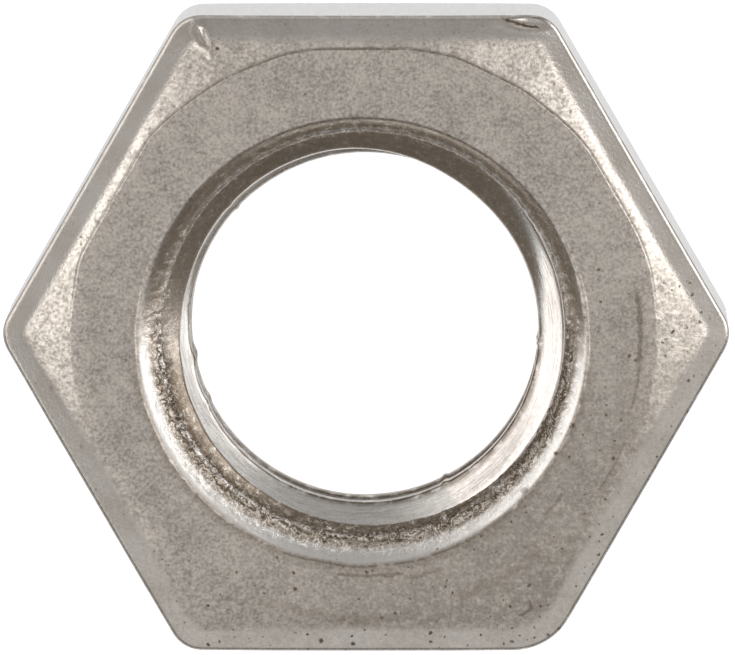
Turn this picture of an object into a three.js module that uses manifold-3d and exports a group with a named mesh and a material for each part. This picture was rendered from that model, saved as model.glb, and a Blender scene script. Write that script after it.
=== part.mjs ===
// Thin metric hex nut: one forged hexagonal blank, chamfered on both faces and tapped right through.
// Lengths are in millimetres and angles in degrees. Z is the thread axis and z = 0 is the lower
// bearing face. Two of the flats face +Y and -Y, and two of the corners point along +X and -X.
import * as THREE from "three";
import { mergeVertices } from "three/addons/utils/BufferGeometryUtils.js";
import Module from "manifold-3d";

// The blank.
const ACROSS_FLATS = 19;
const HEIGHT = 6;
const CORNER_RADIUS = 1; // on the upright edge between two flats
const SHOULDER_WIDTH = 0.85; // the rounding over the flats, measured inwards along the face
const SHOULDER_DROP = 0.5; // the same rounding, measured down the flat

// The two end faces, which are alike.
const FACE_MARGIN = 0.75; // from a flat inwards to the edge of the bearing face
const FACE_STEP = 0.05; // how far the bearing face stands above the chamfer around it
const CHAMFER_ANGLE = 12; // fall of the chamfer over the corners, from the plane of the face

// The thread, an ISO metric profile with a right-hand helix.
const THREAD_DIAMETER = 12; // nominal, which is the diameter at the root of the groove
const THREAD_PITCH = 1.75;
const FLANK_ANGLE = 60; // between the two flanks of the groove
const ROOT_FLAT = THREAD_PITCH / 8;
const CREST_FLAT = THREAD_PITCH / 4;
const DRILL_ALLOWANCE = 0.15; // how far the drilled hole stands outside the profile's crest
const THREAD_START = 35; // where the groove first bites into the upper countersink, from +X

// The countersink at each end of the thread.
const COUNTERSINK_LIP = 0.7; // how far its rim stands outside the thread's nominal radius
const COUNTERSINK_ANGLE = 100; // included angle of the cone

// How finely the curves are cut into flats, and how far a cutter runs past what it cuts.
const TURN_STEPS = 60;
const CORNER_STEPS = 5;
const SHOULDER_STEPS = 4;
const CUT_MARGIN = 1;

const HEXAGON_SIDES = 6;
const FULL_TURN = 2 * Math.PI;
const STEEL = { color: 0x9b948c, roughness: 0.38, metalness: 1 };

const wasm = await Module();
wasm.setup();

const radians = THREE.MathUtils.degToRad;

// A closed geometry as a solid that can be joined and cut.
function solidOf(geometry) {
  geometry.deleteAttribute("normal");
  geometry.deleteAttribute("uv");
  const merged = mergeVertices(geometry);
  const triVerts = new Uint32Array(merged.index.array);
  const vertProperties = merged.attributes.position.array;
  return new wasm.Manifold(new wasm.Mesh({ numProp: 3, vertProperties, triVerts }));
}

// A solid back as a geometry that can be drawn.
function geometryOf(solid) {
  const { vertProperties, triVerts } = solid.getMesh();
  const geometry = new THREE.BufferGeometry();
  geometry.setAttribute("position", new THREE.BufferAttribute(vertProperties, 3));
  geometry.setIndex(new THREE.BufferAttribute(triVerts, 1));
  geometry.computeVertexNormals();
  return geometry;
}

// A solid of revolution around Z from [radius, z] points that run upwards from axis to axis.
function turnedSolid(points) {
  const profile = points.map(([radius, z]) => new THREE.Vector2(radius, z));
  return solidOf(new THREE.LatheGeometry(profile, TURN_STEPS).rotateX(Math.PI / 2));
}

// The hexagon seen from above, with an arc at each corner.
function hexagonOutline() {
  const toArcCentre = (ACROSS_FLATS / 2 - CORNER_RADIUS) / Math.cos(Math.PI / HEXAGON_SIDES);
  const halfArc = Math.PI / HEXAGON_SIDES;
  const outline = new THREE.Shape();
  for (let corner = 0; corner < HEXAGON_SIDES; corner += 1) {
    const bearing = (corner * FULL_TURN) / HEXAGON_SIDES;
    const x = toArcCentre * Math.cos(bearing);
    const y = toArcCentre * Math.sin(bearing);
    outline.absarc(x, y, CORNER_RADIUS, bearing - halfArc, bearing + halfArc);
  }
  outline.closePath();
  return outline;
}

// The hexagonal bar, rounded over at both ends.
function hexagonalBlank() {
  const geometry = new THREE.ExtrudeGeometry(hexagonOutline(), {
    depth: HEIGHT - 2 * SHOULDER_DROP,
    curveSegments: CORNER_STEPS,
    bevelSize: SHOULDER_WIDTH,
    bevelOffset: -SHOULDER_WIDTH,
    bevelThickness: SHOULDER_DROP,
    bevelSegments: SHOULDER_STEPS,
  });
  return solidOf(geometry.translate(0, 0, SHOULDER_DROP));
}

// The round envelope that leaves a raised bearing face and a conical chamfer at each end.
function chamferEnvelope() {
  const faceRadius = ACROSS_FLATS / 2 - FACE_MARGIN;
  const outerRadius = ACROSS_FLATS / 2 / Math.cos(Math.PI / HEXAGON_SIDES) + CUT_MARGIN;
  const fall = FACE_STEP + (outerRadius - faceRadius) * Math.tan(radians(CHAMFER_ANGLE));
  return turnedSolid([
    [0, 0],
    [faceRadius, 0],
    [faceRadius, FACE_STEP],
    [outerRadius, fall],
    [outerRadius, HEIGHT - fall],
    [faceRadius, HEIGHT - FACE_STEP],
    [faceRadius, HEIGHT],
    [0, HEIGHT],
  ]);
}

// How deep the thread's groove is, from its crest to its root.
function grooveDepth() {
  const crestWidth = THREAD_PITCH - CREST_FLAT;
  return (crestWidth - ROOT_FLAT) / 2 / Math.tan(radians(FLANK_ANGLE / 2));
}

const rootRadius = THREAD_DIAMETER / 2;
const crestRadius = rootRadius - grooveDepth();
const holeRadius = crestRadius + DRILL_ALLOWANCE;
const rimRadius = rootRadius + COUNTERSINK_LIP;
const coneSlope = Math.tan(radians(COUNTERSINK_ANGLE / 2));

// The hole that the thread is cut in, with its two countersinks.
function boreCutter() {
  const coneDepth = (rimRadius - holeRadius) / coneSlope;
  const mouthRadius = rimRadius + CUT_MARGIN * coneSlope;
  return turnedSolid([
    [0, -CUT_MARGIN],
    [mouthRadius, -CUT_MARGIN],
    [holeRadius, coneDepth],
    [holeRadius, HEIGHT - coneDepth],
    [mouthRadius, HEIGHT + CUT_MARGIN],
    [0, HEIGHT + CUT_MARGIN],
  ]);
}

// The groove's section, x outwards from the axis and y along it, centred on the root.
// It reaches inside the crest radius by half of what would make neighbouring turns meet.
function grooveSection() {
  const flankSlope = Math.tan(radians(FLANK_ANGLE / 2));
  const overlap = CREST_FLAT / 4 / flankSlope;
  const innerRadius = crestRadius - overlap;
  const innerHalfWidth = (THREAD_PITCH - CREST_FLAT / 2) / 2;
  const section = new THREE.Shape();
  section.moveTo(innerRadius, -innerHalfWidth);
  section.lineTo(rootRadius, -ROOT_FLAT / 2);
  section.lineTo(rootRadius, ROOT_FLAT / 2);
  section.lineTo(innerRadius, innerHalfWidth);
  section.closePath();
  return section;
}

// The helical groove: a straight extrusion whose length is an angle, wound around Z.
// It starts a turn and a half or more above the upper face and ends as far below the lower one.
function threadCutter() {
  const rise = THREAD_PITCH / FULL_TURN;
  const firstBite = HEIGHT - COUNTERSINK_LIP / coneSlope + ROOT_FLAT / 2;
  const heightAt = (angle) => firstBite + (angle - radians(THREAD_START)) * rise;
  const turns = Math.ceil(HEIGHT / THREAD_PITCH) + 3;
  const topAngle = 2 * FULL_TURN;
  const geometry = new THREE.ExtrudeGeometry(grooveSection(), {
    depth: turns * FULL_TURN,
    steps: turns * TURN_STEPS,
    bevelEnabled: false,
  });
  const position = geometry.getAttribute("position");
  for (let i = 0; i < position.count; i += 1) {
    const radius = position.getX(i);
    const angle = topAngle - position.getZ(i);
    const z = position.getY(i) + heightAt(angle);
    position.setXYZ(i, radius * Math.cos(angle), radius * Math.sin(angle), z);
  }
  return solidOf(geometry);
}

const nut = hexagonalBlank()
  .intersect(chamferEnvelope())
  .subtract(boreCutter())
  .subtract(threadCutter());

const hexNut = new THREE.Mesh(geometryOf(nut), new THREE.MeshStandardMaterial(STEEL));
hexNut.name = "hex_nut";

const part = new THREE.Group();
part.add(hexNut);

export default part;
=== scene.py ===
"""Hex nut: the fine surface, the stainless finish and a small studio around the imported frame."""
import logging
import math
from collections.abc import Sequence
from dataclasses import dataclass, field
from enum import Enum

import bpy
import numpy as np
from mathutils import Matrix, Vector


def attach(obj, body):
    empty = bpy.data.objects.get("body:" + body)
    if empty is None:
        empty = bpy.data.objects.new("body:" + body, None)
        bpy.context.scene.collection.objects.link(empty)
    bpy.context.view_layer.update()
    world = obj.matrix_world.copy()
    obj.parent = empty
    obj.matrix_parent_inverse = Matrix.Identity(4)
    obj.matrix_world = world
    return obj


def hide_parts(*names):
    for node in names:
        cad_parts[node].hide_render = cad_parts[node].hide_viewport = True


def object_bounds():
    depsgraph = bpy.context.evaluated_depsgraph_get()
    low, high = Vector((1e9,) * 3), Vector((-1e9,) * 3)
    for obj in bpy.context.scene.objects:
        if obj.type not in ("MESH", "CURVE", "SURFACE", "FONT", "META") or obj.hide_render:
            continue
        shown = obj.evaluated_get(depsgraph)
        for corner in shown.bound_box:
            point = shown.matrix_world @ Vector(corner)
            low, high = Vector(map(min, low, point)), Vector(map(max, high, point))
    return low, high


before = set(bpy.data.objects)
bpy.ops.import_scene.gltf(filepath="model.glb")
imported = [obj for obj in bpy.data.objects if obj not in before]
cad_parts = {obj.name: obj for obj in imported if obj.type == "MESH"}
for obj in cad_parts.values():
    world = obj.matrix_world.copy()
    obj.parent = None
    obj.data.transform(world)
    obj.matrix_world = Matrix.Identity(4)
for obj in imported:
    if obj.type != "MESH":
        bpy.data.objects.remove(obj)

LOG = logging.getLogger("hex_nut")
CAD_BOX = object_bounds()
MM = 0.001
FULL_TURN = 2 * math.pi
SIDES = 6
HALF_SIDE = math.pi / SIDES


class Zone(Enum):
    """Named masks that the mesh carries for its finish and for its painted shade lines."""

    BORE = "bore"
    FLANK = "flank"
    DULL = "dull"
    TORN = "torn"
    EDGE = "edge"
    SIDE = "side"
    SEAM = "seam"


class Socket(Enum):
    """Kinds of socket on a node group."""

    NUMBER = "NodeSocketFloat"
    VECTOR = "NodeSocketVector"
    COLOUR = "NodeSocketColor"


# ---------------------------------------------------------------- small maths


def ease(low: float, high: float, value: np.ndarray) -> np.ndarray:
    """Smooth step from 0 at low to 1 at high.

    Args:
        low: value at which the step starts.
        high: value at which the step ends, which may be below low.
        value: values to map.

    Returns:
        The mapped values, between 0 and 1.
    """
    share = np.clip((value - low) / (high - low), 0.0, 1.0)
    return share * share * (3 - 2 * share)


def soft_max(first: np.ndarray, second: np.ndarray, blend: float) -> np.ndarray:
    """Larger of two surfaces with a rounded crease between them.

    Args:
        first: one surface.
        second: the other surface.
        blend: size of the rounding, in the surfaces' own unit.

    Returns:
        The joined surface.
    """
    gap = first - second
    return (first + second + np.sqrt(gap * gap + blend * blend)) / 2


@dataclass(frozen=True)
class Ripples:
    """Seeded unevenness over a turned surface, made of sine waves that close round the axis.

    Attributes:
        seed: start of the random draws.
        waves: how many waves are added up.
        round_trips: most waves in one turn.
        per_mm: most waves in a millimetre along the profile.
    """

    seed: int
    waves: int
    round_trips: int
    per_mm: float

    def at(self, angle: np.ndarray, along: np.ndarray) -> np.ndarray:
        """Height of the unevenness.

        Args:
            angle: place round the axis, in radians.
            along: place along the profile, in millimetres.

        Returns:
            Values that spread about 0 with a deviation near 1.
        """
        draw = np.random.default_rng(self.seed)
        total = np.zeros(np.broadcast(angle, along).shape)
        for _ in range(self.waves):
            turns = draw.integers(-self.round_trips, self.round_trips + 1)
            pitch = draw.uniform(-self.per_mm, self.per_mm) * FULL_TURN
            total += np.sin(turns * angle + pitch * along + draw.uniform(0, FULL_TURN))
        return total * math.sqrt(2 / self.waves)


# ------------------------------------------------------------------- the nut


@dataclass(frozen=True)
class Burr:
    """A speck of metal that stands out of the thread's crest.

    Attributes:
        bearing: where it stands, in degrees from +X.
        spread: half its width, in degrees.
        height: how far it reaches into the hole, in millimetres.
    """

    bearing: float
    spread: float
    height: float


@dataclass
class TappedBore:
    """The threaded hole with its two countersinks, in millimetres.

    Attributes:
        height: length of the hole.
        diameter: diameter at the thread's root.
        pitch: rise of the thread in one turn.
        start: bearing at which the groove first bites the upper countersink, in degrees.
        lip: how far the countersink's rim stands outside the thread's root.
        countersink: included angle of the cone, in degrees.
        drill_allowance: how far the drilled hole stands outside the profile's crest.
        widened: extra width of the groove that the tap's own tolerance gives.
        axis: where the thread's axis stands from the nut's axis.
        rim_axis: where the middle of the upper rim stands from the nut's axis.
        settle: depth over which the cone comes back to the thread's axis.
        rounding: size of the rounding where two of the bore's surfaces meet.
        torn_radius: radius of the thin torn lip that the tap left in the upper cone.
        torn_width: half width of the torn zone around that lip.
        worn_tip: how much of the first ridge's tip is broken away.
        dull_until: bearing at which the first flank turns bright, in degrees.
        burrs: specks on the crest.
    """

    height: float
    diameter: float = 12.0
    pitch: float = 1.75
    start: float = 35.0
    lip: float = 0.7
    countersink: float = 100.0
    drill_allowance: float = 0.15
    widened: float = 0.08
    axis: tuple[float, float] = (-0.07, 0.03)
    rim_axis: tuple[float, float] = (-0.10, -0.16)
    settle: float = 0.45
    rounding: float = 0.05
    torn_radius: float = 6.08
    torn_width: float = 0.27
    worn_tip: float = 0.27
    dull_until: float = 297.0
    burrs: tuple[Burr, ...] = (
        Burr(190.0, 2.4, 0.075),
        Burr(137.0, 1.0, 0.035),
        Burr(205.0, 1.6, 0.04),
        Burr(297.0, 1.0, 0.05),
        Burr(356.0, 1.4, 0.05),
    )

    @property
    def root_radius(self) -> float:
        """Radius at the bottom of the groove."""
        return self.diameter / 2

    @property
    def crest_radius(self) -> float:
        """Radius of the drilled hole, which leaves the ridge a little short of its full height."""
        full = 5 / 8 * self.pitch * math.cos(math.pi / 6)
        return self.root_radius - full + self.drill_allowance

    @property
    def slope(self) -> float:
        """How fast the countersink closes in with depth."""
        return math.tan(math.radians(self.countersink / 2))

    def shift(self, angle: np.ndarray, depth: np.ndarray | float, upper: bool) -> np.ndarray:
        """How far the bore's surface moves outwards because its axis isn't the nut's.

        Args:
            angle: place round the axis, in radians.
            depth: how far below the end face, which only matters near the upper one.
            upper: whether the upper rim's own axis counts.

        Returns:
            The change of radius at each place.
        """
        home = self.axis[0] * np.cos(angle) + self.axis[1] * np.sin(angle)
        if not upper:
            return home
        rim = self.rim_axis[0] * np.cos(angle) + self.rim_axis[1] * np.sin(angle)
        return rim + (home - rim) * ease(0.0, self.settle, depth + 0 * angle)

    def rim_radius(self, angle: np.ndarray, upper: bool) -> np.ndarray:
        """Distance from the nut's axis to the countersink's rim.

        Args:
            angle: place round the axis, in radians.
            upper: whether the rim is the upper one.

        Returns:
            The distance at each angle.
        """
        rough = 0.012 * Ripples(11 if upper else 12, 14, 24, 0).at(angle, angle * 0)
        return self.root_radius + self.lip + self.shift(angle, 0.0, upper) + rough

    def groove_height(self, angle: np.ndarray) -> np.ndarray:
        """Height of the middle of the groove's root, for the turn that bites first.

        Args:
            angle: place round the axis, in radians.

        Returns:
            The height at each angle.
        """
        first = self.height - self.lip / self.slope + self.pitch / 16
        return first + (angle - math.radians(self.start)) / FULL_TURN * self.pitch

    def tip_wear(self, angle: np.ndarray, z: np.ndarray) -> np.ndarray:
        """How much of the tip is gone from the ridge between the countersink and the groove.

        Args:
            angle: place round the axis, in radians.
            z: height.

        Returns:
            The loss of radial height at each place.
        """
        turn = np.degrees(angle)
        along = ease(48.0, 105.0, turn) * ease(236.0, 120.0, turn)
        return self.worn_tip * along * (z > self.groove_height(angle) - self.pitch)

    def thread_radius(self, angle: np.ndarray, z: np.ndarray) -> np.ndarray:
        """Radius of the thread's surface with its crest and root a little rounded.

        Args:
            angle: place round the axis, in radians.
            z: height.

        Returns:
            The radius at each place, from the thread's own axis.
        """
        offset = (z - self.groove_height(angle)) / self.pitch
        away = np.abs(offset - np.round(offset)) * self.pitch
        half_root = self.pitch / 16 + self.widened / 2
        flank = self.root_radius - (away - half_root) * math.tan(math.pi / 3)
        cut = -soft_max(-flank, -self.root_radius + 0 * flank, self.rounding)
        crest = self.crest_radius + self.tip_wear(angle, z)
        for burr in self.burrs:
            crest = crest - burr.height * np.exp(-(((np.degrees(angle) - burr.bearing) / burr.spread) ** 2))
        return soft_max(cut, crest, self.rounding * 0.7)

    def surface(self, angle: np.ndarray, z: np.ndarray) -> tuple[np.ndarray, dict[Zone, np.ndarray]]:
        """The whole bore: thread, countersinks and the torn metal in the upper one.

        Args:
            angle: place round the axis, in radians.
            z: height.

        Returns:
            The radius at each place, and the masks there.
        """
        depth = self.height - z
        rim = self.root_radius + self.lip
        upper_cone = rim - depth * self.slope
        upper = upper_cone + self.shift(angle, depth, True)
        lower = rim - z * self.slope + self.shift(angle, 0.0, False)
        cone = np.maximum(upper, lower)
        thread = self.thread_radius(angle, z) + self.shift(angle, 0.0, False)
        radius = soft_max(thread, cone, self.rounding)
        flank = ease(-0.02, 0.05, thread - cone)
        on_top = (1 - flank) * (depth < self.height / 2)

        facing = ease(0.25, -0.35, np.sin(angle))
        near_lip = np.exp(-(((upper_cone - self.torn_radius - 0.06) / self.torn_width) ** 2))
        torn = near_lip * on_top * (0.3 + 0.7 * facing)
        creases = 0.7 - np.abs(Ripples(23, 26, 110, 2.6).at(angle, z))
        ridges = 0.7 - np.abs(Ripples(31, 22, 60, 1.2).at(angle, z * 0.6))
        lip = np.exp(-(((upper_cone - self.torn_radius + 0.03 * creases) / 0.035) ** 2)) * on_top
        radius = radius + torn * (0.034 * creases + 0.03 * ridges) - 0.055 * lip
        radius = radius + 0.003 * flank * Ripples(41, 18, 9, 3.5).at(angle, z)

        deep = ease(0.0, 0.3, depth * self.slope) * ease(0.0, 0.3, z * self.slope)
        crest_line = np.exp(-(((thread - cone) / 0.05) ** 2)) * deep
        turn = np.degrees(angle)
        dull = flank * ease(self.dull_until + 1.5, self.dull_until - 1.5, turn) * ease(60.0, 75.0, turn)
        masks = {Zone.BORE: deep, Zone.FLANK: flank, Zone.DULL: dull, Zone.TORN: torn}
        masks[Zone.EDGE] = np.clip(crest_line * 0.7 + lip * 0.9, 0, 1)
        # Painted shadow on the flank beside the thread's crest.
        masks[Zone.SEAM] = flank * ease(self.crest_radius + 0.16, self.crest_radius + 0.02, radius)
        return radius, masks


@dataclass(frozen=True)
class Dent:
    """A knock in the surface, in millimetres.

    Attributes:
        at: centre, to the right and away from the viewer.
        size: half width and half length.
        turn: bearing of its length, in degrees.
        depth: how deep it is.
        lip: how far the metal pushed up around it stands, as a share of the depth.
    """

    at: tuple[float, float]
    size: tuple[float, float]
    turn: float
    depth: float
    lip: float = 0.4

    def push(self, x: np.ndarray, y: np.ndarray) -> np.ndarray:
        """How far the dent lowers the surface.

        Args:
            x: place to the right.
            y: place away from the viewer.

        Returns:
            The drop at each place, negative on the lip.
        """
        turn = math.radians(self.turn)
        along = (x - self.at[0]) * math.cos(turn) + (y - self.at[1]) * math.sin(turn)
        across = -(x - self.at[0]) * math.sin(turn) + (y - self.at[1]) * math.cos(turn)
        far = np.sqrt((across / self.size[0]) ** 2 + (along / self.size[1]) ** 2)
        bowl = np.exp(-(far**2) * 1.6)
        rim = np.exp(-(((far - 1.35) / 0.35) ** 2))
        return self.depth * (bowl - self.lip * rim)


@dataclass
class ForgedBlank:
    """The hexagonal outside with its two end faces, in millimetres.

    Attributes:
        height: length along the axis.
        across_flats: distance between two opposite flats.
        across_corners: distance between two opposite corners.
        face_margin: from a flat inwards to the bearing face's edge.
        face_step: how far the bearing face stands above the chamfer.
        chamfer: fall of the chamfer over the corners, in degrees.
        shoulder_width: width of the rounding over each flat.
        shoulder_drop: height of the same rounding, on top of the chamfer's fall.
        shoulder_slope: extra slope of the rounding's middle stretch, in degrees.
        blunt_corner: radius of the one corner that is blunter than the rest.
        dents: knocks in the upper face.
    """

    height: float
    across_flats: float
    across_corners: float
    face_margin: float = 0.75
    face_step: float = 0.035
    chamfer: float = 11.0
    shoulder_width: float = 0.86
    shoulder_drop: float = 0.28
    shoulder_slope: float = 10.0
    blunt_corner: float = 1.9
    face_off_centre: tuple[float, float] = (-0.05, -0.06)
    dents: tuple[Dent, ...] = (
        Dent((-4.85, 8.88), (0.15, 0.3), 118.0, 0.07, 0.55),
        Dent((-4.78, 8.34), (0.1, 0.16), 125.0, 0.02, 0.5),
        Dent((4.85, 9.3), (0.17, 0.6), -4.0, 0.12, 0.2),
    )

    @property
    def corner_radius(self) -> float:
        """Radius of the upright corners, from how far they reach."""
        sharp = self.across_flats / 2 / math.cos(HALF_SIDE)
        return (sharp - self.across_corners / 2) / (1 / math.cos(HALF_SIDE) - 1)

    @property
    def face_radius(self) -> float:
        """Radius of the bearing face."""
        return self.across_flats / 2 - self.face_margin

    def outline(self, angle: np.ndarray, inset: np.ndarray | float) -> np.ndarray:
        """Distance from the axis to the hexagon, or to a copy of it set inwards.

        Args:
            angle: place round the axis, in radians.
            inset: how far inside the flats the copy lies.

        Returns:
            The distance at each angle.
        """
        corner = np.round(angle / (2 * HALF_SIDE))
        off = np.abs(angle - corner * 2 * HALF_SIDE)
        blunt = np.isclose(corner % SIDES, SIDES - 1)
        radius = np.where(blunt, self.blunt_corner, self.corner_radius)
        radius = np.maximum(radius - inset, 0.22)
        flat = self.across_flats / 2 - inset
        centre = (flat - radius) / math.cos(HALF_SIDE)
        tangent = np.arctan2(radius * math.sin(HALF_SIDE), centre + radius * math.cos(HALF_SIDE))
        under = np.maximum(radius**2 - (centre * np.sin(off)) ** 2, 0)
        arc = centre * np.cos(off) + np.sqrt(under)
        return np.where(off < tangent, arc, flat / np.cos(HALF_SIDE - off))

    def shoulder_profile(self, steps: int) -> tuple[np.ndarray, np.ndarray]:
        """Section of the rounding over a flat: an easy start, a sloped stretch and a tight end.

        Args:
            steps: how many rings the rounding has.

        Returns:
            How far each ring lies inside the flat, and its share of the drop.
        """
        fine = np.linspace(0, 1, 400)
        slope = math.radians(self.shoulder_slope)
        lean = slope * ease(0.0, 0.4, fine) + (math.pi / 2 - slope) * ease(0.8, 1.0, fine)
        outwards = np.cumsum(np.cos(lean))
        down = np.cumsum(np.sin(lean))
        share = np.linspace(0, 1, steps)
        inset = self.shoulder_width * (1 - np.interp(share, fine, outwards / outwards[-1]))
        return inset, np.interp(share, fine, down / down[-1])

    def face_edge(self, angle: np.ndarray) -> np.ndarray:
        """Radius of the bearing face, which gives way to the shoulder at the middle of a flat.

        Args:
            angle: place round the axis, in radians.

        Returns:
            The radius at each angle.
        """
        right, away = self.face_off_centre
        ragged = 0.012 * Ripples(7, 16, 40, 0).at(angle, angle * 0)
        circle = self.face_radius + right * np.cos(angle) + away * np.sin(angle) + ragged
        room = self.outline(angle, self.shoulder_width) - 0.1
        return -soft_max(-circle, -room, 0.05)

    def fall(self, angle: np.ndarray, radius: np.ndarray) -> np.ndarray:
        """How far the chamfer lies below the bearing face.

        Args:
            angle: place round the axis, in radians.
            radius: distance from the axis.

        Returns:
            The fall at each place.
        """
        out = radius - self.face_edge(angle)
        slope = math.tan(math.radians(self.chamfer))
        crisp = ease(-0.2, 0.5, np.sin(angle))
        step = self.face_step * (0.15 + 0.85 * crisp) * ease(-0.03, 0.07, out)
        return step + slope * soft_max(out, 0 * out, 0.06 + 0.2 * (1 - crisp))

    def rings(self, angle: np.ndarray, rim: np.ndarray, fine: bool) -> list[tuple[np.ndarray, np.ndarray]]:
        """Rings from the countersink's rim out to the top of the flats.

        Args:
            angle: the columns of the mesh, in radians.
            rim: radius of the countersink's rim.
            fine: whether the face is the upper one, which gets more rings.

        Returns:
            The radius and the depth below the bearing face of each ring.
        """
        found = []
        for out, depth in ((0.0, 0.022), (0.055, 0.003), (0.1, 0.0)):
            found.append((rim + out, depth + 0 * angle))
        edge = self.face_edge(angle)
        inner = rim + 0.1
        for share in np.linspace(0, 1, 8 if fine else 4)[1:-1]:
            found.append((inner + (edge - 0.09 - inner) * share, 0 * angle))
        for out in (-0.06, -0.03, 0.0, 0.03, 0.07) if fine else (-0.05, 0.01, 0.07):
            found.append((edge + out, self.fall(angle, edge + out)))
        start = self.outline(angle, self.shoulder_width)
        inner = edge + 0.07
        for share in np.linspace(0, 1, 9 if fine else 5)[1:-1]:
            radius = inner + (start - inner) * share
            found.append((radius, self.fall(angle, radius)))
        for inset, share in zip(*self.shoulder_profile(15 if fine else 9)):
            radius = self.outline(angle, inset)
            found.append((radius, self.fall(angle, radius) + self.shoulder_drop * share))
        return found

    def knocks(self, x: np.ndarray, y: np.ndarray) -> np.ndarray:
        """How far all the dents lower the upper face.

        Args:
            x: place to the right.
            y: place away from the viewer.

        Returns:
            The drop at each place.
        """
        return sum(dent.push(x, y) for dent in self.dents)


@dataclass
class HexNut:
    """The whole nut: one closed mesh that stands for the one forged and tapped piece.

    Attributes:
        node: name of the node that the mesh stands for.
        slot: material slot of the record; not used.
        corner_columns: mesh columns across each corner.
        flat_columns: mesh columns across each flat.
        fine_depth: depth below the upper face with level, closely spaced rows, in millimetres.
        fine_row: spacing of those rows.
        turn_rows: rows to each turn of the thread below that.
        end_depth: height of the stretch at the lower end with level rows.
        end_row: spacing of those rows.
        rim_depth: depth of the first row below the rim.
    """

    node: str = "hex_nut"
    slot: str = "nut_steel"
    corner_columns: int = 22
    flat_columns: int = 78
    fine_depth: float = 2.1
    fine_row: float = 0.045
    turn_rows: int = 18
    end_depth: float = 1.5
    end_row: float = 0.12
    rim_depth: float = 0.07
    blank: ForgedBlank = field(init=False)
    bore: TappedBore = field(init=False)

    def __post_init__(self) -> None:
        """Take the overall sizes from the CAD box."""
        low, high = (corner / MM for corner in CAD_BOX)
        height = high.z - low.z
        self.blank = ForgedBlank(height, high.y - low.y, high.x - low.x)
        self.bore = TappedBore(height)

    def columns(self) -> np.ndarray:
        """Bearings of the mesh's columns, closer together at the corners."""
        half_corner = math.radians(4.6)
        side = 2 * HALF_SIDE
        at_corner = np.linspace(-half_corner, half_corner, self.corner_columns, endpoint=False)
        on_flat = np.linspace(half_corner, side - half_corner, self.flat_columns, endpoint=False)
        one = np.concatenate([at_corner, on_flat])
        return np.sort(np.concatenate([one + side * k for k in range(SIDES)]) % FULL_TURN)

    def bore_heights(self, angle: float) -> np.ndarray:
        """Heights of the bore's rows in one column, from the top down.

        Args:
            angle: bearing of the column, in radians.

        Returns:
            Level rows at both ends and rows that follow the thread between them.
        """
        height = self.bore.height
        level = np.arange(height - self.rim_depth, height - self.fine_depth, -self.fine_row)
        low = np.arange(self.rim_depth, self.end_depth, self.end_row)[::-1]
        step = self.bore.pitch / self.turn_rows
        groove = float(self.bore.groove_height(np.array(angle)))
        first = math.floor((level[-1] - 0.5 * step - groove) / step)
        last = math.ceil((low[0] + 0.5 * step - groove) / step)
        winding = groove + np.arange(first, last - 1, -1) * step
        return np.concatenate([level, winding, low])

    def mesh(self) -> bpy.types.Mesh:
        """Build the closed mesh with its masks."""
        angle = self.columns()
        count = len(angle)
        heights = [self.bore_heights(a) for a in angle]
        starts = np.concatenate([[0], np.cumsum([len(h) for h in heights])])
        z = np.concatenate(heights)
        turn = np.repeat(angle, [len(h) for h in heights])
        radius, masks = self.bore.surface(turn, z)
        points = [np.stack([radius * np.cos(turn), radius * np.sin(turn), z], axis=1)]
        total = int(starts[-1])
        shades = {zone: [masks.get(zone, 0 * z)] for zone in Zone}

        rings = self.outer_rings(angle)
        for ring_radius, ring_z, ring_masks in rings:
            points.append(np.stack([ring_radius * np.cos(angle), ring_radius * np.sin(angle), ring_z], axis=1))
            for zone in Zone:
                shades[zone].append(ring_masks.get(zone, 0 * angle))

        faces: list[Sequence[int]] = []
        for column in range(count):
            after = (column + 1) % count
            here = range(int(starts[column]), int(starts[column + 1]))
            there = range(int(starts[after]), int(starts[after + 1]))
            faces += zipped(here, there, z)
        top = [int(starts[c]) for c in range(count)]
        bottom = [int(starts[c + 1]) - 1 for c in range(count)]
        loops = [top]
        loops += [[total + k * count + c for c in range(count)] for k in range(len(rings))]
        loops += [bottom]
        for inner, outer in zip(loops, loops[1:]):
            for c in range(count):
                n = (c + 1) % count
                faces.append((inner[c], outer[c], outer[n], inner[n]))

        mesh = bpy.data.meshes.new("nut_body")
        mesh.from_pydata((np.concatenate(points) * MM).tolist(), [], faces)
        mesh.validate()
        mesh.shade_smooth()
        for zone, parts in shades.items():
            layer = mesh.attributes.new(zone.value, "FLOAT", "POINT")
            layer.data.foreach_set("value", np.concatenate(parts).astype(np.float32))
        return mesh

    def outer_rings(self, angle: np.ndarray) -> list[tuple[np.ndarray, np.ndarray, dict[Zone, np.ndarray]]]:
        """Every ring outside the bore, from the upper rim over the flats to the lower rim.

        Args:
            angle: the columns of the mesh, in radians.

        Returns:
            The radius, height and masks of each ring.
        """
        blank = self.blank
        height = blank.height
        found = []
        upper = blank.rings(angle, self.bore.rim_radius(angle, True), True)
        for radius, depth in upper:
            x = radius * np.cos(angle)
            y = radius * np.sin(angle)
            knock = blank.knocks(x, y) * ease(0.9, 0.2, depth)
            masks = self.outer_masks(angle, radius)
            masks[Zone.SEAM] = self.shade_lines(angle, radius)
            found.append((radius, height - depth - knock, masks))
        side = blank.outline(angle, 0.0)
        last_up = upper[-1][1]
        lower = blank.rings(angle, self.bore.rim_radius(angle, False), False)
        last_down = lower[-1][1]
        for share in (0.012, 0.06, 0.2, 0.4, 0.6, 0.8, 0.94, 0.988):
            z = (height - last_up) * (1 - share) + last_down * share
            found.append((side, z, {Zone.SIDE: 1 + 0 * angle}))
        for radius, depth in reversed(lower):
            found.append((radius, depth + 0 * angle, self.outer_masks(angle, radius)))
        return found

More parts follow.
